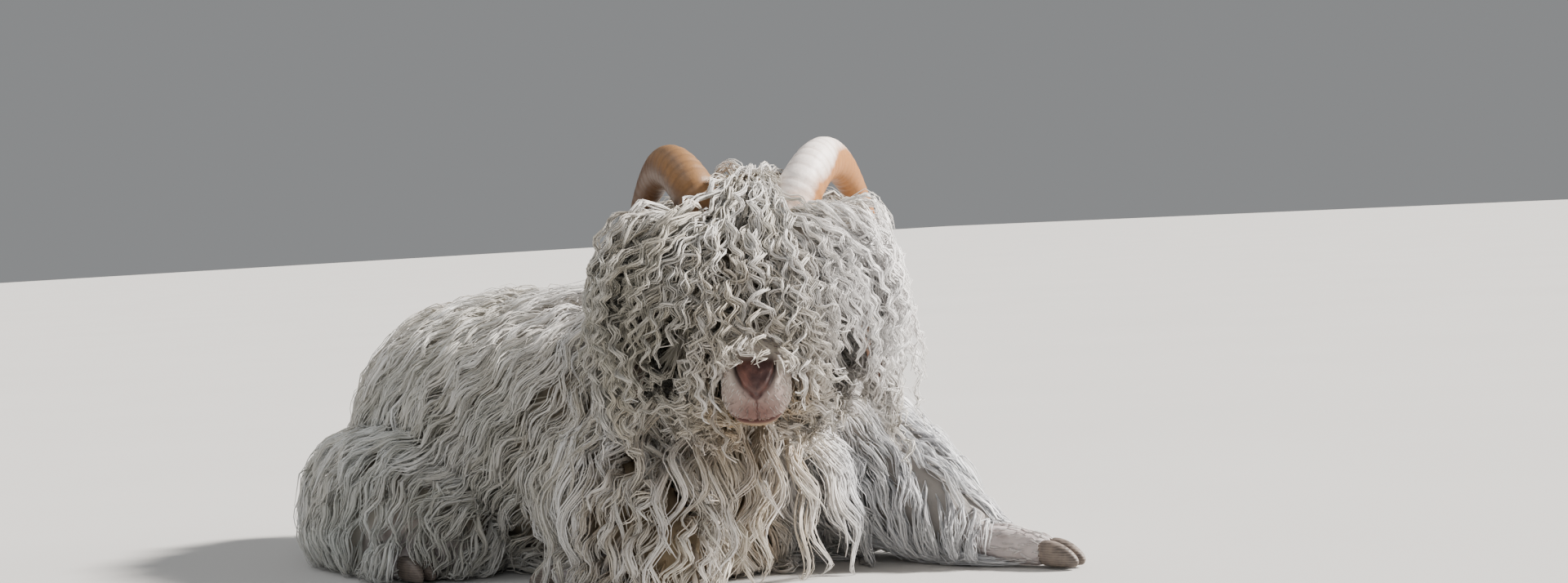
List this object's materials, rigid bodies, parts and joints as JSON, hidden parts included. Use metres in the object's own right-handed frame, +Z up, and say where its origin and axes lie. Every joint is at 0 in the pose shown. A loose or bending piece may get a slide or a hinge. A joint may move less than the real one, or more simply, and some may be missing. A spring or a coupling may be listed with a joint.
{
  "type": "angora goat",
  "caption": "Life-size still model of a horned Angora goat lying down with its head turned to its right, in a long curly mohair coat with a forelock over the eyes.",
  "frame": {"origin": "on the floor plane under the chest, where the flat of the belly rests", "axes": "+Y from the chest towards the rump, so the goat faces -Y; +X towards the goat's left side; +Z up"},
  "size_m": [0.5681, 0.9393, 0.465],
  "materials": {
    "mohair": "off-white mohair in long lustrous ringlets, tan in the depths near the face and chest",
    "eye": "wet amber iris with a dark level pupil",
    "horn": "ringed horn, ivory to tan-brown, slightly waxy",
    "hoof": "dark grey-brown hoof horn, faintly ringed"
  },
  "bodies": {
    "root": {"torso": "mohair", "neck": "mohair", "head": "mohair", "tail": "mohair", "foreleg_left": "mohair", "foreleg_right": "mohair", "hindleg_left": "mohair", "hindleg_right": "mohair", "ear_left": "mohair", "ear_right": "mohair", "eye_left": "eye", "eye_right": "eye", "horn_left": "horn", "horn_right": "horn", "foreleg_left_hoof_left": "hoof", "foreleg_left_hoof_right": "hoof", "foreleg_right_hoof_left": "hoof", "foreleg_right_hoof_right": "hoof", "hindleg_left_hoof_left": "hoof", "hindleg_left_hoof_right": "hoof", "hindleg_right_hoof_left": "hoof", "hindleg_right_hoof_right": "hoof"}
  },
  "joints": []
}
